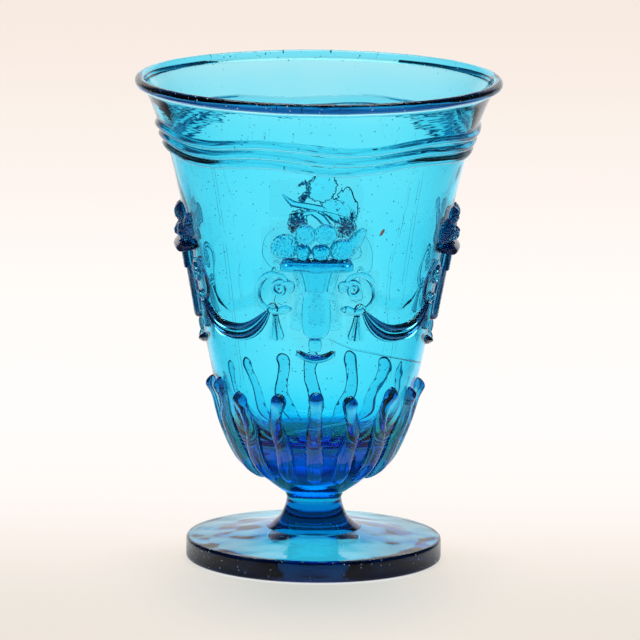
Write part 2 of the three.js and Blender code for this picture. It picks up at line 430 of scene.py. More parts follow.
def makeBowlGlass():
    marks = bowlMarks
    made, graph, height = startGlass("bowl glass")
    height, tint = addSeeds(graph, height)
    tint, roughness = bowlTints(graph, tint)
    height, tint = bowlLines(graph, height, tint)
    surface = glassSurface(graph, "bowl glass", tint, height, roughness)
    surface = addSpecks(graph, surface, marks["speckHeight"])
    away = graph.vectors("SUBTRACT", graph.place, marks["stone"])
    stone = sum((graph.dot(away, axis) / half) ** 2 for axis, half in marks["stoneAxes"]) < 1
    surface = graph.mixShaders(stone, surface, graph.diffuse(marks["stoneTint"]))
    finishGlass(graph, "bowl glass", surface, marks["joints"])
    return made


footMarks = {
    # all in metres
    "joints": [(0.02597, 1, 1), (0.01199, 0.01203, 0.0187)],  # the stem's top, and its base on the foot
    "speckHeight": 0.001,
    "edgeTint": (0.3, 0.25, 0.08, 1),  # painted shade on the upright edge
    "edgeRadius": 0.0498,
    "edgeHeight": 0.0005,
}


def makeFootGlass():
    marks = footMarks
    made, graph, height = startGlass("foot glass")
    height, tint = addSeeds(graph, height)
    # painted shade on the foot's upright edge
    edge = (graph.radius > marks["edgeRadius"]) * (graph.z > marks["edgeHeight"])
    surface = glassSurface(graph, "foot glass", graph.blend(edge, tint, marks["edgeTint"]), height)
    surface = addSpecks(graph, surface, marks["speckHeight"])
    finishGlass(graph, "foot glass", surface, marks["joints"])
    return made


def makeReliefGlass(name):
    # painted shade: below nothing the glass is a deeper colour and further below near black, above nothing a
    # near black mottle
    look = glassLook
    made, graph, height = startGlass(name)
    stain = graph.add("ShaderNodeAttribute", {"attribute_name": "stain"})["Fac"]
    tint = graph.blend(-stain, (1, 1, 1, 1), look["shadeTint"])
    tint = graph.blend(graph.smooth(-stain, 1, 2), tint, look["skinTint"])
    # the painted shade broken up by a mottle
    rough = stain + graph.noise(graph.place, look["mottleScale"], 2)
    tint = graph.blend(graph.smooth(rough, *look["skinLevel"]), tint, look["skinTint"])
    finishGlass(graph, name, glassSurface(graph, name, tint, height))
    return made


# Pieces


creaseAngle = math.radians(60)  # sharper edges than this stay sharp
weldReach = 0.0005


def finishPiece(bm, name, material, nodes):
    # closes a drawn shape into a piece that stands for its CAD nodes
    bmesh.ops.remove_doubles(bm, verts=bm.verts, dist=weldReach)
    bmesh.ops.recalc_face_normals(bm, faces=bm.faces)
    bmesh.ops.scale(bm, vec=(mm, mm, mm), verts=bm.verts)
    for face in bm.faces:
        face.smooth = True
    for edge in bm.edges:
        if edge.is_manifold and edge.calc_face_angle() > creaseAngle:
            edge.smooth = False
    mesh = bpy.data.meshes.new(name)
    bm.to_mesh(mesh)
    bm.free()
    mesh.materials.append(material)
    piece = bpy.data.objects.new(name, mesh)
    bpy.context.collection.objects.link(piece)
    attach(piece, "root")
    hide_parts(*nodes)


def turnProfile(profile, sides):
    # spins [radius, height] points about the upright axis into a closed solid
    bm = bmesh.new()
    verts = [bm.verts.new((radius, 0, height)) for radius, height in profile]
    edges = [bm.edges.new(pair) for pair in zip(verts, verts[1:])]
    bmesh.ops.spin(bm, geom=verts + edges, cent=(0, 0, 0), axis=(0, 0, 1), angle=math.tau, steps=sides,
                   use_merge=True)
    return bm


def waverWall(bm):
    # the slight waver of glass that was worked by hand
    sizes = bowlSizes
    bm.normal_update()
    for vert in bm.verts:
        fade = min(1, max(0, (vert.co.z - sizes["jointHeight"]) / sizes["waverFade"]))
        if vert.co.xy.length > 1:
            vert.co += vert.normal * sizes["waver"] * fade * noise.noise(vert.co / sizes["waverScale"])


def wanderInside(bm):
    # the inner wall strays from the outer one, so the glass is thicker here and thinner there
    sizes = bowlSizes
    for vert in bm.verts:
        radius, z = vert.co.xy.length, vert.co.z
        if 1 < radius < wallRadius(z) - 1 and z < sizes["wanderTop"]:
            fade = min(1, (sizes["wanderTop"] - z) / sizes["wanderFade"])
            vert.co.xy *= 1 + sizes["wander"] * noise.noise(vert.co / sizes["wanderScale"]) * fade / radius


def makeBowl(material):
    sizes = bowlSizes
    profile = [(0, sizes["jointHeight"])]
    profile += [(wallRadius(z), z) for z in steps(sizes["jointHeight"], sizes["wallTop"], 110)]
    bead = sizes["beadRadius"]
    centre = sizes["lipHeight"] - bead
    for angle in steps(*sizes["beadArc"], 14):
        turn = math.radians(angle)
        profile.append((sizes["lipRadius"] + bead * math.cos(turn), centre + bead * math.sin(turn)))
    lowest = sizes["inner"][0][0]
    flat, dip = sizes["floorDip"]
    profile += [(cavityRadius(z), z) for z in steps(sizes["cavityTop"], lowest, 100)]
    profile += [(flat, lowest - dip), (0, sizes["floorHeight"])]
    bm = turnProfile(profile, sizes["sides"])
    waverWall(bm)
    wanderInside(bm)
    finishPiece(bm, "bowl", material, ["bowl"])


stemSizes = {
    # [height, radius], from the foot up to the bowl
    "outline": [[12.02, 18.35], [13.6, 16.1], [16, 13.5], [19.2, 11.8], [22.6, 10.8], [24.4, 10.8],
                [25.98, 11.6]],
    "top": 25.98,
    "base": 12.02,
    "sides": 128,
}


def makeStem(material):
    sizes = stemSizes
    outline = curveThrough(sizes["outline"])
    profile = [(0, sizes["base"])]
    profile += [(outline(z), z) for z in steps(sizes["base"], sizes["top"], 28)]
    profile += [(0, sizes["top"])]
    finishPiece(turnProfile(profile, sizes["sides"]), "stem", material, ["stem"])


footSizes = {
    "radius": 50,
    "edgeHeight": 8.3,
    "seatRadius": 18.4,
    "seatHeight": 12,
    "slope": [[26, 10.7], [36, 9.4]],  # [radius, height] of the top between the seat and the edge
    "restRadius": 40,  # inner edge of the flat ring it stands on
    "hollowDepth": 4.2,  # of the cone under it, whose tip is cut off at a radius and bulges up
    "hollowTip": 8,
    "hollowBulge": 0.4,
    "lowerCorner": [[0.9, 0], [0.5, 0.15], [0.2, 0.5]],  # [inset, height] round it
    "edge": [0.1, 1, 0.9],  # inset of its upright part, and how far that stops from the bottom and the top
    "upperCorner": [[0.3, 0.4], [0.6, 0.1]],  # [inset, depth] round it
    "dents": 0.24,
    "dentScale": 8.5,
    "dentStops": [1, 1.2],  # how far they stay off the seat and the edge,
    "dentFades": [6, 3],  # and come in over from there
    "calm": 22,  # the front's smooth part ends this far to its sides
    "sides": 192,
}


def dentTop(bm):
    # soft dents in the top, shallowest in front
    sizes = footSizes
    seat, edge = sizes["seatRadius"] + sizes["dentStops"][0], sizes["radius"]
    for vert in bm.verts:
        radius = vert.co.xy.length
        if vert.co.z > sizes["seatHeight"] / 2 and seat < radius < edge - sizes["dentStops"][1]:
            share = min(1, (radius - seat) / sizes["dentFades"][0], (edge - radius) / sizes["dentFades"][1])
            calm = min(1, (abs(vert.co.x) + max(vert.co.y, 0)) / sizes["calm"])
            vert.co.z += sizes["dents"] * share * calm * noise.noise(vert.co / sizes["dentScale"])


def makeFoot(material):
    sizes = footSizes
    edge, high, rest = sizes["radius"], sizes["edgeHeight"], sizes["restRadius"]
    deep, tip = sizes["hollowDepth"], sizes["hollowTip"]
    inset, bottom, under = sizes["edge"]
    top = curveThrough([[sizes["seatRadius"], sizes["seatHeight"]], *sizes["slope"], [edge - 1, high]])
    profile = [(0, deep + sizes["hollowBulge"])]
    profile += [(r, deep * (rest - r) / (rest - tip)) for r in steps(tip, rest, 16)]
    profile += [(r, 0) for r in steps(rest + 1, edge - sizes["lowerCorner"][0][0], 8)]
    profile += [(edge - off, height) for off, height in sizes["lowerCorner"][1:]]
    profile += [(edge - inset, z) for z in steps(bottom, high - under, 12)]
    profile += [(edge - off, high - depth) for off, depth in sizes["upperCorner"]]
    profile += [(r, top(r)) for r in steps(edge - 1, sizes["seatRadius"], 70)]
    profile += [(0, sizes["seatHeight"])]
    bm = turnProfile(profile, sizes["sides"])
    dentTop(bm)
    finishPiece(bm, "foot", material, ["foot"])


sunk = 0.22  # how far a relief's back lies inside the wall


def addRod(bm, azimuth, path, blunt, stain, around=32, along=72, section=None):
    # a rod laid on the wall along path(t), which gives s, z, half width and rise. Its ends are rounded over
    # the blunt shares of its length, and the function after them gives, by share and across, the shade
    # painted on its skin. section gives its height across, from -1 to 1, in place of a half round.
    reach = 0.005  # the shares of its length that its direction is taken between
    marked = bm.verts.layers.float.new("stain")
    made = bmesh.ops.create_uvsphere(bm, u_segments=around, v_segments=along, radius=1)["verts"]
    for vert in made:
        share = min(max((1 + vert.co.z) / 2, 0), 1)
        ring = vert.co.xy.length
        across, out = (vert.co.xy / ring) if 0.0001 < share < 0.9999 else (0, 0)
        cap = 1
        if share < blunt[0]:
            cap = math.sqrt(1 - (1 - share / blunt[0]) ** 2)
        if share > 1 - blunt[1]:
            cap = min(cap, math.sqrt(max(0, 1 - (1 - (1 - share) / blunt[1]) ** 2)))
        s, z, half, rise = path(share)
        s0, z0 = path(max(share - reach, 0))[:2]
        s1, z1 = path(min(share + reach, 1))[:2]
        length = math.hypot(s1 - s0, z1 - z0)
        sideS, sideZ = (z1 - z0) / length, (s0 - s1) / length
        width = across * half * cap
        stand = -sunk
        if out > 0:
            face = section(across) if section else out
            stand = -sunk + (rise + sunk) * cap * face
        vert.co = onWall(azimuth, s + sideS * width, z + sideZ * width, stand)
        if stand > 0.1:
            vert[marked] = stain(share, across)


def makeRelief(name, azimuth, corners, height, material, cell=0.2, stain=None):
    # a raised shape on the wall between two corners in s and z. height(s, z) is its face, and is below
    # nothing where there is no shape. The last function gives, by s and z, the shade painted on its skin.
    low, high = corners
    spans = [high[0] - low[0], high[1] - low[1]]
    backing = 0.03  # depth of the thinnest part
    bm = bmesh.new()
    bmesh.ops.create_grid(bm, x_segments=round(spans[0] / cell), y_segments=round(spans[1] / cell), size=0.5)
    for vert in bm.verts:
        s = low[0] + (vert.co.x + 0.5) * spans[0]
        z = low[1] + (vert.co.y + 0.5) * spans[1]
        vert.co = (s, z, max(height(s, z), -sunk))
    bare = [face for face in bm.faces if all(vert.co.z <= -sunk for vert in face.verts)]
    bmesh.ops.delete(bm, geom=bare, context="FACES")
    made = bmesh.ops.extrude_face_region(bm, geom=bm.faces[:])["geom"]
    for vert in made:
        if isinstance(vert, bmesh.types.BMVert):
            vert.co.z = -sunk - backing
    marked = bm.verts.layers.float.new("stain")
    for vert in bm.verts:
        if stain:
            vert[marked] = stain(vert.co.x, vert.co.y)
        vert.co = onWall(azimuth, *vert.co)
    finishPiece(bm, name, material, [name])


def fainter(height, strength):
    # lowers a face without drawing out its edge
    return height * strength if height > 0 else height


def grain(s, z, seed, scale):
    return noise.noise(Vector((s / scale, z / scale, seed)))


def squiggles(s, z, seed, scale):
    # thin wandering grooves, 1 at their deepest
    return max(0, 1 - abs(grain(s, z, seed, scale)) / 0.2)


def roundOff(q, edge=0.5):
    # a rounded section: 1 at q 0, nothing at q 1, and steeply below nothing beyond
    return (1 - q * q) ** edge if q < 1 else 4 * (1 - q)


def dome(s, z, lobe, edge=0.4):
    # the height over s, z of an oval lobe: its s, z, half width, half height, turn and rise
    turn = lobe[4]
    across, up = s - lobe[0], z - lobe[1]
    along = (across * math.cos(turn) + up * math.sin(turn)) / lobe[2]
    beside = (up * math.cos(turn) - across * math.sin(turn)) / lobe[3]
    return lobe[5] * roundOff(math.hypot(along, beside), edge)


def smoothLine(points, count=5):
    # a smooth line of [s, z, half width] through points of the same kind
    curves = [curveThrough([[i, point[k]] for i, point in enumerate(points)]) for k in range(3)]
    return [[curve(t) for curve in curves] for t in steps(0, len(points) - 1, count * (len(points) - 1))]


def ridge(s, z, line, rise, edge=0.4):
    # the height over s, z of a rounded ridge that follows a line
    nearest = 2
    for (s0, z0, half0), (s1, z1, half1) in zip(line, line[1:]):
        runS, runZ = s1 - s0, z1 - z0
        share = min(max(((s - s0) * runS + (z - z0) * runZ) / (runS * runS + runZ * runZ), 0), 1)
        away = math.hypot(s - s0 - share * runS, z - z0 - share * runZ)
        nearest = min(nearest, away / (half0 + (half1 - half0) * share))
    return rise * roundOff(nearest, edge)


threadSizes = {
    "heights": {"thread_upper": 171.1, "thread_middle": 167, "thread_lower": 163.1},
    "halfWidth": 1.9,
    "stand": 1.55,
    "fullness": {"above": 3, "below": 1.3},  # powers: drawn out thin above and full below
    "waves": [[0.95, 6, 1.9], [0.35, 5, -5.2]],  # height, number round the bowl and start in radians
    "stray": 0.03,  # how far the waves lag from one thread to the next, in radians
    "waver": 0.25,
    "waverScale": 7,
    "sides": 240,
}


def makeThread(index, name, material):
    sizes = threadSizes
    height = sizes["heights"][name]
    arm = 10  # of the ring that is spun, before its points are put on the wall
    bm = bmesh.new()
    ring = bmesh.ops.create_circle(bm, segments=20, radius=1)["verts"]
    bmesh.ops.rotate(bm, verts=ring, cent=(0, 0, 0), matrix=Matrix.Rotation(math.radians(90), 3, "X"))
    bmesh.ops.translate(bm, verts=ring, vec=(arm, 0, 0))
    bmesh.ops.spin(bm, geom=bm.verts[:] + bm.edges[:], cent=(0, 0, 0), axis=(0, 0, 1), angle=math.tau,
                   steps=sizes["sides"], use_merge=True)
    for vert in bm.verts:
        turn = math.atan2(vert.co.y, vert.co.x)
        out = vert.co.xy.length - arm
        lagged = turn + sizes["stray"] * index
        wave = sum(rise * math.cos(count * lagged + start) for rise, count, start in sizes["waves"])
        scale = sizes["waverScale"]
        wave += sizes["waver"] * noise.noise(Vector((scale * math.cos(turn), scale * math.sin(turn), height)))
        z = height + wave + sizes["halfWidth"] * vert.co.z
        fullness = sizes["fullness"]["above" if vert.co.z > 0 else "below"]
        vert.co = onWall(math.degrees(turn), 0, z, sizes["stand"] * out ** fullness if out > 0 else -sunk)
    finishPiece(bm, name, material, [name])


ribSizes = {
    "count": 16,
    "foot": 33,
    "head": 71.8,
    "farHead": 73.8,  # the back ones reach a little higher
    "strays": {0: 1.3, 1: -0.6, 2: 1.3, 3: -1, 13: 2.4, 14: -1.2},  # and these heads lie off the rest
    "sway": 1.75,
    "frontSway": 0.3,  # the share of it that the front one has
    "waves": 1.5,
    "phase": 2.4,  # from one rib's waves to the next, in radians
    "half": [[0, 2], [0.12, 3.2], [0.35, 3.7], [0.6, 3], [0.8, 2.5], [0.92, 3.05], [1, 2.9]],
    "rise": [[0, 1], [0.2, 2.4], [0.6, 2.6], [0.82, 2.6], [0.93, 3.7], [1, 3.3]],
    "farRise": 0.45,  # the share of it that the back ones have
    "shade": 0.85,
    "shadeStart": 0.885,  # share of its length where the painted shade of a head begins
    "waver": 0.08,
    "waverScale": 5,
}


def makeRib(index, material):
    sizes = ribSizes
    half = curveThrough(sizes["half"])
    rise = curveThrough(sizes["rise"])
    far = sizes["count"] / 4 < index < sizes["count"] * 3 / 4
    foot = sizes["foot"]
    head = sizes["farHead"] if far else sizes["head"] + sizes["strays"].get(index, 0)

    def path(t):
        sway = sizes["sway"] * (t if index else sizes["frontSway"] * t)
        sway *= math.sin(math.tau * sizes["waves"] * t + sizes["phase"] * index)
        return sway, foot + (head - foot) * t, half(t), rise(t) * (sizes["farRise"] if far else 1)

    def stain(t, across):
        # painted shade: a far rib's edges are darkened in a mottle, and a near one's head is a deeper colour
        if far:
            return sizes["shade"] * bump(abs(across), 0.85, 0.35) * (0.75 + grain(14 * t, across, index, 0.7))
        return -sizes["shade"] * min(1, max(0, t - sizes["shadeStart"]) / 0.02)

    bm = bmesh.new()
    addRod(bm, 360 * index / sizes["count"], path, (0.06, 0.08), stain)
    bm.normal_update()
    scale = sizes["waverScale"]
    for vert in bm.verts:
        lean = noise.noise(vert.co / scale) + 0.5 * noise.noise(vert.co * 2.3 / scale)
        vert.co += vert.normal * sizes["waver"] * lean
    name = f"rib_{index + 1:02d}"
    finishPiece(bm, name, material, [name])


urnSizes = {
    "corners": [(-10.4, 94.6), (10.4, 123.1)],
    # [z, half width] of the pouch and of the flat apron behind it
    "pouch": [[95.2, 1.2], [95.5, 2.5], [96.2, 3.7], [97.3, 4.6], [99, 5.2], [102, 5.5], [107, 5.5],
              [112, 5], [114.9, 4.3], [117, 4.6], [120, 5.3], [122.8, 6]],
    "apron": [[98, 9.9], [103, 9.1], [109, 8.1], [113, 7.4], [115, 7], [117.7, 7.8], [120, 8.6],
              [122.8, 9.6]],
    "hem": [98.2, 1.1, 5.5, 4.4],  # height, how far it rises at the sides, and where from and over what width
    "bottom": 95.2,
    "belly": 2.6,  # height over which the pouch's bottom rounds up
    "top": 122.8,
    "cup": 114.7,  # height of the line below the mouth
    "cupRise": 3.4,
    "pouchRise": 2.6,
    "apronRise": 0.7,
    "flutes": [114, 0.4, 1.7],  # of the apron's mouth: lowest height, depth and pitch
    "backStrength": 0.2,
}
pouchHalf = curveThrough(urnSizes["pouch"])
apronHalf = curveThrough(urnSizes["apron"])


def frontBody(s, z, seed):
    # a rounded pouch below a deeper cup, in front of a flared apron with a fluted mouth
    sizes = urnSizes
    side = abs(s)
    belly = sizes["belly"]
    step = min(1, max(0, (z - sizes["cup"] - 0.4 * grain(s, 0, seed, 1.3)) / 0.5))
    rise = sizes["pouchRise"] + (sizes["cupRise"] - sizes["pouchRise"]) * step
    pouch = rise * roundOff(side / pouchHalf(z), 0.33)
    if z < sizes["bottom"] + belly:
        pouch = min(pouch, rise * roundOff((sizes["bottom"] + belly - z) / belly, 0.4))
    middle, lift, inner, width = sizes["hem"]
    hem = middle + lift * max(0, (side - inner) / width) ** 2
    apron = sizes["apronRise"] * roundOff(side / apronHalf(z), 0.15)
    if z < hem + 0.4:
        apron = min(apron, sizes["apronRise"] * roundOff((hem + 0.4 - z) / 0.4))
    lowest, depth, pitch = sizes["flutes"]
    if z > lowest and apron > 0:
        apron += depth * min(1, (z - lowest) / 3) * math.cos(math.tau * (side - 0.9 * apronHalf(z)) / pitch)
    return max(pouch, apron)


rimSizes = {
    "corners": [(-17.5, 122.5), (14.1, 127.5)],
    # [z, rise] across the rim, from its lower edge to where the fruit lies
    "section": [[122.85, -0.6], [122.95, 2.6], [123.2, 4.3], [123.7, 5.2], [124.4, 5.6], [125.2, 5.7],
                [125.9, 5.4], [126.5, 4.6], [127.1, 3.2], [127.2, -0.6]],
    "middle": 125,
    "halfLength": 13.7,
    "endRise": 6,
    "shade": 0.6,  # along the top, in the shadow of the fruit
    "shadeHalf": 13.4,
    "backHeights": [122.85, 127.45],  # what of the back urn's drape lies in its rim
}
rimSection = curveThrough(rimSizes["section"])


def rimPaintedShadow(s, z):
    # painted shadow of the fruit: a deeper colour along the top
    depth = min(1, max(0, z - 125.2 - 0.4 * math.cos(0.85 * (s + 0.6))) / 0.6)
    return -rimSizes["shade"] * depth * (abs(s) < rimSizes["shadeHalf"])


def frontRim(s, z):
    # a thick plate with round ends, rolled at the front
    ends = min(1, abs(s) / rimSizes["halfLength"])
    if ends == 1:
        return -1
    z = rimSizes["middle"] + (z - rimSizes["middle"]) / (1 - ends ** 10) ** 0.5
    return min(rimSection(z), rimSizes["endRise"] * roundOff(ends ** 3, 0.3))


fruitSizes = {
    "corners": [(-18.8, 125.5), (20, 142)],
    "backCorners": [(-18.8, 127.1), (20, 142)],
    # s, z, half width, half height, turn and rise of each lobe
    "lobes": [
        [-12.6, 131.8, 5.7, 4.7, 0.5, 3.3],
        [-9.7, 130.9, 2.6, 2.9, 0, 4.0],
        [-4.3, 136.7, 4.0, 3.9, 0, 3.1],
        [3.3, 136.9, 4.4, 4.1, 0, 3.3],
        [-5.1, 130, 2.9, 3.1, 0, 4.5],
        [1.6, 130, 3.7, 3.1, 0, 4.7],
        [9.8, 131, 5.2, 4.1, 0.35, 4.1],
        [13.9, 132.8, 7.6, 2.7, 0.92, 2.3],
    ],
    "roundness": 0.55,
    "lowest": 127.3,  # above the rim
    "skin": 0.4,  # the height from which the lobes have one
    "rough": 0.12,
    "squiggle": 0.45,
    "berries": [-8, 0.3, 2.6],  # where the left-hand ones end, and the depth and pitch of their dimples
}


def frontFruit(s, z, seed):
    # lobed fruit with dimpled skins and a leaf
    sizes = fruitSizes
    face = max(dome(s, z, lobe, sizes["roundness"]) for lobe in sizes["lobes"])
    if face > sizes["skin"]:
        face += sizes["rough"] * grain(s, z, seed, 0.9)
        face -= sizes["squiggle"] * squiggles(s, z, seed + 3, 1.8)
        end, depth, pitch = sizes["berries"]
        if s < end:
            face += depth * math.cos(pitch * (s + z)) * math.cos(pitch * (s - z))
    return face


backSizes = {
    # the back urn's fruit is draped down to here, and its edges were left rough
    "lowest": 117,
    "lobes": [[-1.6, 137, 6.2, 5.2, 0, 1.2], [-8.4, 129.8, 6.6, 4.2, 0.1, 1.8],
              [-12.4, 130.4, 4.6, 6.4, 0.1, 1.1]],
    # s, z and half width along each fold and the rough edge
    "sash": [[13.1, 134.8, 0.35], [9.1, 131.3, 1.1], [3.5, 129.4, 1.4], [-2, 128.3, 1.5], [-6, 126.6, 1.6],
             [-10, 125, 1.2]],
    "sashRise": 1.9,
    "band": [[8, 126, 0.7], [7, 126.7, 0.9], [2, 127.2, 1], [-2.1, 125.2, 1], [-5.2, 123.1, 0.9],
             [-7, 121.5, 0.8]],
    "bandRise": 1.3,
    "edge": [[6.6, 139.6, 0.7], [4.4, 140.2, 0.8], [3.2, 138.6, 1], [4, 136, 1.1], [6.2, 133.4, 1],
             [6.4, 132.2, 0.7]],
    "patches": [[6.9, 124.2, 3, 4.4, -0.15, 1], [-11.4, 122.8, 5, 4.4, 0.2, 1],
                [-14, 127.5, 1.7, 4.2, 0.1, 0.8]],
    "stray": 0.9,  # how far the outlines wander
    "rough": 0.5,
    "calm": 0.05,
}


def strayed(s, z):
    # a place moved a little, so that an edge drawn there is uneven
    stray = backSizes["stray"]
    return s + stray * grain(s, z, 5, 0.9), z + stray * grain(s, z, 9, 0.9)


def roughParts(s, z):
    # the height of the rough edge and patches
    sizes = backSizes
    place = strayed(s, z)
    return max([ridge(*place, sizes["edge"], 1)] + [dome(*place, patch) for patch in sizes["patches"]])


def backTop(s, z, seed):
    # soft lobes under two folds, with rough parts between
    sizes = backSizes
    rough = roughParts(s, z)
    place = strayed(s, z)
    lobes = max(dome(*place, lobe) for lobe in sizes["lobes"])
    sash = ridge(s, z, sizes["sash"], sizes["sashRise"])
    band = ridge(s, z, sizes["band"], sizes["bandRise"])
    face = max(lobes, sash, band, rough)
    if rough > 0:
        face += min(1, 2 * rough) * sizes["rough"] * (grain(s, z, seed, 0.55) + 0.5 * grain(s, z, seed, 0.3))
    elif face > 0.2:
        face += sizes["calm"] * grain(s, z, seed, 0.8)
    return face


def backPaintedShade(s, z):
    # painted shade: a dark mottle on the rough parts, and round the lobes and folds
    sizes = backSizes
    if z <= sizes["lowest"]:
        return 0
    place = strayed(s, z)
    rims = max(bump(dome(*place, lobe) / lobe[5], 0.3, 0.5) for lobe in sizes["lobes"])
    lines = max(bump(ridge(s, z, sizes[line], 1), 0.25, 0.6) for line in ("sash", "band"))
    return max(min(0.72, roughParts(s, z)), 0.7 * rims, 0.62 * lines)


def makeUrnBody(face, azimuth, material, seed):
    sizes = urnSizes

    def height(s, z):
        if z > sizes["top"]:
            return -1
        if face == "back":
            low = fainter(frontBody(s, z, seed), sizes["backStrength"])
            drape = backTop(s, z, seed) * (abs(s) < apronHalf(z)) if z > backSizes["lowest"] else -1
            return max(low, drape)
        return frontBody(s, z, seed) + 0.04 * grain(s, z, seed, 1.1)

    stain = backPaintedShade if face == "back" else None
    makeRelief(f"urn_{face}_body", azimuth, sizes["corners"], height, material, stain=stain)


def makeUrnRim(face, azimuth, material, seed):
    sizes = rimSizes
    low, high = sizes["backHeights"]

    def height(s, z):
        if face == "back":
            return backTop(s, z, seed) if low < z < high else -1
        return frontRim(s, z) + 0.04 * grain(s, z, seed, 1.5)

    stain = backPaintedShade if face == "back" else rimPaintedShadow
    makeRelief(f"urn_{face}_rim", azimuth, sizes["corners"], height, material, 0.16, stain)


def makeUrnFruit(face, azimuth, material, seed):
    sizes = fruitSizes
    back = face == "back"

    def height(s, z):
        if z < sizes["lowest"] and (back or abs(s) < rimSizes["halfLength"] + 0.2):
            return -1
        return backTop(s, z, seed) if back else frontFruit(s, z, seed)

    corners = sizes["backCorners" if back else "corners"]
    makeRelief(f"urn_{face}_fruit", azimuth, corners, height, material, 0.14, backPaintedShade if back else None)


urnFootSizes = {
    "corners": [(-7.8, 84.6), (7.8, 95.1)],
    "knob": [[90.3, 1.9], [91.2, 2.3], [92.6, 2.45], [94, 2.3], [94.8, 1.9]],  # [z, half width]
    "knobMiddle": [-0.3, 92.4],
    "knobHalf": 2.5,  # of its height
    "knobRise": 1.5,
    "grooves": [-1.3, -0.3, 0.8],
    "grooveDepth": 0.3,
    "grooveHalf": 0.35,
    "saucerHalf": 7.4,
    "saucerRise": 3.1,
    "saucerLow": [85.2, 2.9],  # height of its lower line in the middle, and how far it rises at the ends
    "saucerHigh": [88.3, 1.7],  # and of its upper one
    "saucer": [[0, 0], [0.06, 1], [0.25, 1.8], [0.45, 2.5], [0.58, 2.7], [0.75, 1.9], [1, 0]],  # its rise
    "backStrength": 0.15,
}
knobHalf = curveThrough(urnFootSizes["knob"])
saucerSection = curveThrough(urnFootSizes["saucer"])


def makeUrnFoot(face, azimuth, material, seed):
    # a grooved knob on a dished saucer
    sizes = urnFootSizes
    strength = sizes["backStrength"] if face == "back" else 1
    middle, level = sizes["knobMiddle"]
    (lowMiddle, lowLift), (highMiddle, highLift) = sizes["saucerLow"], sizes["saucerHigh"]

    def height(s, z):
        knob = sizes["knobRise"] * roundOff(abs(s - middle) / knobHalf(z), 0.25)
        knob = min(knob, sizes["knobRise"] * roundOff(abs(z - level) / sizes["knobHalf"], 0.2))
        if knob > 0.5:
            for groove in sizes["grooves"]:
                knob -= sizes["grooveDepth"] * bump(s, groove, sizes["grooveHalf"])
        low = lowMiddle + lowLift * (s / sizes["saucerHalf"]) ** 2
        high = highMiddle + highLift * min(1, abs(s) / 6) ** 2
        share = (z - low) / (high - low)
        saucer = saucerSection(share) if 0 < share < 1 else -4 * abs(share - 0.5)
        saucer = min(saucer, sizes["saucerRise"] * roundOff(abs(s) / sizes["saucerHalf"], 0.4))
        return fainter(max(knob, saucer) + 0.03 * grain(s, z, seed, 1.2), strength)

    makeRelief(f"urn_{face}_foot", azimuth, sizes["corners"], height, material, 0.16)


def handed(corners, hand):
    # the corners of a right-hand relief, or of its mirror image
    (near, low), (far, high) = corners
    near, far = sorted([near * hand, far * hand])
    return (near, low), (far, high)


def handName(hand):
    return "right" if hand > 0 else "left"


handleSizes = {
    "corners": [(7.2, 104), (25, 121.6)],
    "backCorners": [(7.2, 104), (25, 122.9)],
    # s, z and half width along the scroll, from the leaf by the urn round to the tail, for a right handle
    "scroll": [[11.8, 118.4, 0.7], [13.4, 119.5, 0.95], [15.4, 120, 1.05], [18.6, 120, 1.15],
               [21.4, 118, 1.2], [23.1, 114.6, 1.2], [23.4, 111.1, 1.15], [22.1, 108.2, 1.15],
               [19.6, 106.2, 1.1], [17, 105.4, 1.05], [14.5, 105.6, 1.2], [12, 106.4, 1.5],
               [9.8, 106.8, 0.4]],
    "scrollRise": 0.8,
    "voluteMiddle": [14.2, 114.6],
    "voluteReach": [3.3, 0.7],  # its radius at either end
    "voluteHalf": [0.8, 0.5],  # and its half width
    "voluteTurns": [110, -370],  # and its direction in degrees
    "voluteRise": 1.2,
    "leaf": [[11.4, 116.9, 2.6, 1.1, -0.1, 1.1], [9.9, 115.3, 1.5, 2.2, 0.3, 1.1]],
    "ring": [[19.2, 105.6, 0.4], [18.7, 107.3, 0.45], [17.2, 108.2, 0.5], [15.8, 107.5, 0.45],
             [15, 105.9, 0.4]],
    "ringRise": 1.8,
    "backStrength": 0.12,
}


def voluteLine():
    # the spiral eye, from its outer end in
    sizes = handleSizes
    middleS, middleZ = sizes["voluteMiddle"]
    line = []
    for share in steps(0, 1, 36):
        turn, reach, half = [ends[0] + (ends[1] - ends[0]) * share
                             for ends in (sizes["voluteTurns"], sizes["voluteReach"], sizes["voluteHalf"])]
        turn = math.radians(turn)
        line.append([middleS + reach * math.cos(turn), middleZ + reach * math.sin(turn), half])
    return line


def makeHandle(face, azimuth, material, seed, hand):
    # a scroll that curls out from the urn and back round a spiral eye, with a ring that carries the swag
    sizes = handleSizes
    back = face == "back"
    scroll, ring, volute = smoothLine(sizes["scroll"]), smoothLine(sizes["ring"]), voluteLine()
    strength = sizes["backStrength"] if back else 1

    def height(s, z):
        s = s * hand
        top = max(dome(s, z, lobe) for lobe in sizes["leaf"])
        top = max(top, ridge(s, z, scroll, sizes["scrollRise"], 0.9))
        top = max(top, ridge(s, z, volute, sizes["voluteRise"]), ridge(s, z, ring, sizes["ringRise"]))
        top = fainter(top, strength)
        if back and z > backSizes["lowest"]:
            top = max(top, backTop(s * hand, z, seed) if z < urnSizes["top"] else -1)
        return min(top + 0.03 * grain(s, z, seed, 1), 6 * (s - apronHalf(z) - 0.05))

    corners = handed(sizes["backCorners" if back else "corners"], hand)
    stain = backPaintedShade if back else None
    makeRelief(f"urn_{face}_handle_{handName(hand)}", azimuth, corners, height, material, 0.15, stain)


tasselSizes = {
    "corners": [(11.4, 93.2), (19.6, 104.3)],
    "half": [[94, 3.4], [96, 2.95], [98, 2.4], [101, 1.6], [104, 1.1]],
    "middle": 15.4,
    "lean": 0.06,
    "hem": [94, 1.2, 0.3],  # height, how far it rises at the sides, and the depth of its scallops
    "folds": [0.2, 0.3],  # depths of the pleats and of the crease beside the middle
    "crease": [-0.27, 0.14],
    "top": 104,
    "rise": 1.4,
    "backStrength": 0.15,
}
tasselHalf = curveThrough(tasselSizes["half"])


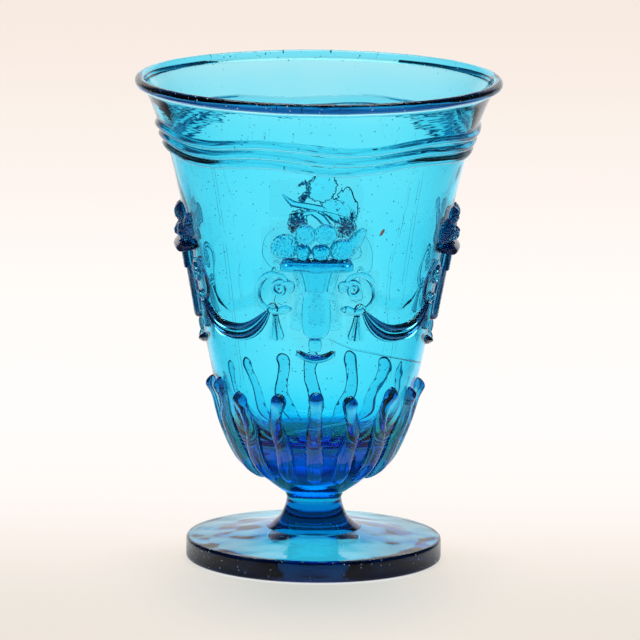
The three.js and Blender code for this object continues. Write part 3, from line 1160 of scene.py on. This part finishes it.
def makeTassel(face, azimuth, material, seed, hand):
    # a flared, pleated tassel with a scalloped hem
    sizes = tasselSizes
    lowest, lift, scallop = sizes["hem"]
    strength = sizes["backStrength"] if face == "back" else 1

    def height(s, z):
        middle = sizes["middle"] + sizes["lean"] * (z - lowest)
        u = (s * hand - middle) / tasselHalf(z)
        hem = lowest + lift * u * u - scallop * math.cos(3 * math.pi * u)
        pleat, crease = sizes["folds"]
        folds = 0.8 + pleat * math.cos(math.tau * 2 * u) - crease * bump(u, *sizes["crease"])
        top = sizes["rise"] * roundOff(abs(u), 0.3) * (folds if abs(u) < 1 else 1)
        if z < hem + 0.5:
            top = min(top, sizes["rise"] * roundOff((hem + 0.5 - z) / 0.5))
        return fainter(min(top, 6 * (sizes["top"] - z)) + 0.03 * grain(s, z, seed, 1), strength)

    corners = handed(sizes["corners"], hand)
    makeRelief(f"tassel_{face}_{handName(hand)}", azimuth, corners, height, material, 0.15)


swagSizes = {
    "reach": 22,  # degrees from its middle to an end
    "lowest": 95.3,
    "drop": 10.3,
    "hang": 2.6,  # the power of its curve
    "half": 3.45,
    "rise": 2.2,
    "flatRise": 0.3,  # the share of it that a drape has
    # middle, half width and rise of each, as shares of the swag's own
    "strands": [[-0.68, 0.32, 1], [-0.155, 0.205, 0.72], [0.325, 0.275, 0.95], [0.8, 0.2, 0.7]],
    "flatStain": 0.75,
}


def makeSwag(index, material):
    # four strands that hang as one swag between two urns; behind, they run together into a flat drape
    sizes = swagSizes
    flat = index in (1, 2)

    def path(t):
        u = 2 * t - 1
        z = sizes["lowest"] + sizes["drop"] * abs(u) ** sizes["hang"]
        half = sizes["half"] * (1 - 0.78 * u ** 4)
        rise = sizes["rise"] * (sizes["flatRise"] if flat else 1) * (1 - 0.4 * u ** 4)
        return math.radians(sizes["reach"]) * u * wallRadius(z), z, half, rise

    def section(across):
        if flat:
            return 0.03 + 0.97 * bump(across, 0, 1)
        strands = [rise * roundOff(abs(across - middle) / half) for middle, half, rise in sizes["strands"]]
        return max(0, *strands)

    def stain(t, across):
        # painted shade: the first and third strands are a deeper colour, darker towards one end, and a
        # drape's lower edge is darkened in a mottle
        if flat:
            return sizes["flatStain"] * bump(across, 0.8, 0.5) * (0.7 + grain(20 * t, across, index, 0.7))
        sideways = t if index == 0 else 1 - t
        deep = max(bump(across, middle, 1.6 * half) for middle, half, rise in sizes["strands"][::2])
        return -2 * min(1, 1.4 * deep * (0.6 + 0.6 * sideways))

    bm = bmesh.new()
    addRod(bm, 45 + 90 * index, path, (0.02, 0.02), stain, 128, 96, section)
    name = f"swag_{faces[index]}_{faces[(index + 1) % 4]}"
    finishPiece(bm, name, material, [name])


# The stage, the light and the camera


floorLook = {
    "size": 12,  # half its width in metres
    "drop": 0.0001,  # air left under the foot
    # distance behind the vase in metres, and the colour of the paper sweep there
    "sweep": [[-0.13, (0.855, 0.791, 0.723)], [-0.079, (0.863, 0.807, 0.738)],
              [-0.026, (0.913, 0.839, 0.776)], [0.029, (0.973, 0.888, 0.839)], [0.106, (1, 0.956, 0.923)],
              [0.271, (1, 0.982, 0.973)], [0.553, (1, 0.973, 0.947)], [0.713, (1, 0.947, 0.905)],
              [0.887, (1, 0.905, 0.863)], [1.079, (0.965, 0.888, 0.823)], [1.253, (0.956, 0.847, 0.784)],
              [1.506, (0.93, 0.831, 0.753)]],
    "paper": (0.9, 0.88, 0.86, 1),  # what it throws back on to the vase
    "shown": (0.43, 0.34, 0.27, 1),  # the share of the light on it that the camera sees,
    "lift": (0.612, 0.592, 0.55, 1),  # with a painted glow for the light bounced round the room
    "reach": [0.055, 0.13],  # distances from the vase between which its shadow fades away,
    "spread": [1.3, 0.45, 1.2],  # sooner to the sides, later in front and soonest behind
    "caustic": (0.2, 0.25, 0.3, 1),  # a painted bright line, for the light that the foot's edge throws in front of it
    "causticRadius": 0.0508,
    "causticHalf": [0.0003, 0.0011],
    "causticFront": [0.02, 0.045],
    # as it is seen through glass, a glow: bright, and dim where shade is painted on it
    "bright": (1, 1, 1, 1),
    "dim": (0.05, 0.09, 0.15, 1),
    "width": [0.09, 0.4, 0.09],  # painted shade at the sides, past a distance that widens towards the back
    "front": [0.8, 0.045, 0.1],  # and painted shade by a share in front, between two distances
    "faraway": [0.85, 0.3, 0.6],  # the brightness it comes back to, and the distances it does so between
    "foot": [0.5, 0.013, 0.034],  # brightness under the foot at its sides, where the bowl lets no light down
    "footEdge": [0.05, 0.07],
}


def sweepGlow(graph):
    # the sweep as the camera sees it beyond the shadow
    points = floorLook["sweep"]
    first, last = points[0][0], points[-1][0]
    stops = [((y - first) / (last - first), colour) for y, colour in points]
    share = (graph.y - first) * (1 / (last - first))
    return graph.glow(graph.add("ShaderNodeValToRGB", {"stops": stops}, {"Fac": share}))


def glassGlow(graph):
    # the sweep as it is seen through glass, a glow with painted shade at the sides, in front and under the
    # foot
    look = floorLook
    near, widens, fades = look["width"]
    past = abs(graph.x) - graph.y.maths("MAXIMUM", 0) * widens
    level = 1 - graph.smooth(past, near, near + fades)
    share, start, end = look["front"]
    level = level * (1 - share * graph.smooth(-graph.y, start, end))
    back, start, end = look["faraway"]
    level = level.maths("MAXIMUM", back * graph.smooth(graph.radius, start, end))
    darkest, start, end = look["foot"]
    under = graph.smooth(abs(graph.x), start, end) * (1 - graph.smooth(graph.radius, *look["footEdge"]))
    level = level * (1 - (1 - darkest) * under)
    return graph.glow(graph.blend(level, look["dim"], look["bright"]))


def shownPaper(graph):
    # the paper as the camera sees it near the vase, with a painted glow and a painted caustic line
    look = floorLook
    # real light and shadow on the paper, with the painted glow added
    paper = graph.addShaders(graph.diffuse(look["shown"]), graph.glow(look["lift"]))
    line = 1 - graph.smooth(abs(graph.radius - look["causticRadius"]), *look["causticHalf"])
    line = line * graph.smooth(-graph.y, *look["causticFront"])
    return graph.mixShaders(line, paper, graph.addShaders(paper, graph.glow(look["caustic"])))


def pastShadow(graph):
    # 0 where the vase's shadow lies, 1 where it has faded away
    aside, ahead, behind = floorLook["spread"]
    across = graph.x * aside
    along = graph.y.maths("MAXIMUM", graph.y * ahead)
    away = (across * across + along * along) ** 0.5 + graph.y.maths("MAXIMUM", 0) * behind
    return graph.smooth(away, *floorLook["reach"])


def makeFloor():
    # one paper that the camera sees by itself, with the vase's shadow near it, and glass sees as a glow
    look = floorLook
    bm = bmesh.new()
    bmesh.ops.create_grid(bm, x_segments=2, y_segments=2, size=look["size"])
    mesh = bpy.data.meshes.new("floor")
    bm.to_mesh(mesh)
    bm.free()
    floor = bpy.data.objects.new("floor", mesh)
    bpy.context.collection.objects.link(floor)
    floor.location.z = -look["drop"]
    made, graph = newMaterial("pale paper sweep")
    graph.locate()
    rays = graph.add("ShaderNodeLightPath")
    camera = rays["Is Camera Ray"]
    throughGlass = rays["Is Glossy Ray"].maths("MAXIMUM", rays["Is Transmission Ray"]) * (1 - camera)
    paper = graph.mixShaders(camera, graph.diffuse(look["paper"]), shownPaper(graph))
    glow = graph.mixShaders(camera, glassGlow(graph), sweepGlow(graph))
    surface = graph.mixShaders(throughGlass + camera * pastShadow(graph), paper, glow)
    graph.add("ShaderNodeOutputMaterial", {}, {"Surface": surface})
    mesh.materials.append(made)


worldLook = {
    "light": (1, 0.99, 0.975, 1),
    "room": (0.05, 0.1, 0.18, 1),  # the dim room at the sides, in front and above
    "sides": [-0.7, -0.15],
    "lean": 1.2,  # how much of the way back counts against the sides
    "ceiling": [0.34, 0.5],
    "lamp": (0, 0.38, 0.925),  # direction of the big soft lamp
    "lampStrength": 5.5,
    "lampEdge": [0.89, 0.96],
}


def makeWorld():
    # a bright backdrop, a dimmer room round it, and a big soft lamp above and behind
    world = bpy.data.worlds.new("studio")
    bpy.context.scene.world = world
    world.use_nodes = True
    graph = Graph(world.node_tree)
    place = graph.add("ShaderNodeTexCoord")["Generated"]
    way = graph.add("ShaderNodeSeparateXYZ", {}, {"Vector": place})
    beside = graph.smooth(abs(way["X"]) - worldLook["lean"] * way["Y"], *worldLook["sides"])
    above = graph.smooth(way["Z"], *worldLook["ceiling"])
    colour = graph.blend((1 - beside) * (1 - above), worldLook["room"], worldLook["light"])
    lamp = graph.smooth(graph.dot(place, worldLook["lamp"]), *worldLook["lampEdge"])
    colour = graph.blend(lamp, colour, worldLook["light"])
    strength = 1 + lamp * (worldLook["lampStrength"] - 1)
    background = graph.add("ShaderNodeBackground", {}, {"Color": colour, "Strength": strength})
    graph.add("ShaderNodeOutputWorld", {}, {"Surface": background})


cameraLook = {
    "lens": 433,
    "sensor": 36,
    "aim": (0.0015, 0, 0.094),
    "distance": 3.0,
    "farthest": 60,  # that it sees
    "elevation": 10.6,  # degrees
    "tilt": 0.67,  # degrees about its line of sight
}


def makeCamera():
    look = cameraLook
    data = bpy.data.cameras.new("camera")
    data.lens = look["lens"]
    data.sensor_width = look["sensor"]
    data.clip_end = look["farthest"]
    camera = bpy.data.objects.new("camera", data)
    bpy.context.collection.objects.link(camera)
    elevation = math.radians(look["elevation"])
    back = Vector((0, -math.cos(elevation), math.sin(elevation)))
    camera.location = Vector(look["aim"]) + look["distance"] * back
    camera.rotation_euler = (math.radians(90) - elevation, 0, 0)
    camera.rotation_euler.rotate_axis("Z", math.radians(look["tilt"]))
    bpy.context.scene.camera = camera


wallGlass = makeBowlGlass()
footGlass = makeFootGlass()
reliefGlass = makeReliefGlass("relief glass")
shadedSideGlass = makeReliefGlass("shaded side relief glass")
ribGlass = makeReliefGlass("rib glass")
print("glasses made")

makeCamera()
makeFloor()
makeWorld()
print("camera, floor and light set")

makeBowl(wallGlass)
makeStem(footGlass)
makeFoot(footGlass)
print("bowl, stem and foot made")
for index, name in enumerate(threadSizes["heights"]):
    makeThread(index, name, reliefGlass)
for index in range(ribSizes["count"]):
    makeRib(index, ribGlass)
print("threads and ribs made")
for index, face in enumerate(faces):
    azimuth = 90 * index
    seed = 7 * index  # so that no two urns have the same grain
    # the side urns take the darker copy, painted shade
    glass = shadedSideGlass if face in ("right", "left") else reliefGlass
    for makePiece in (makeUrnBody, makeUrnRim, makeUrnFruit, makeUrnFoot):
        makePiece(face, azimuth, glass, seed)
    for hand in (-1, 1):
        makeHandle(face, azimuth, glass, seed + hand, hand)
        makeTassel(face, azimuth, glass, seed + hand, hand)
    makeSwag(index, reliefGlass)
print("urns, handles, tassels and swags made")

scene = bpy.context.scene
scene.view_settings.view_transform = "Standard"
bounces = 32  # enough for light that crosses every wall of the vase
scene.cycles.max_bounces = bounces
scene.cycles.transmission_bounces = bounces
scene.cycles.transparent_max_bounces = bounces
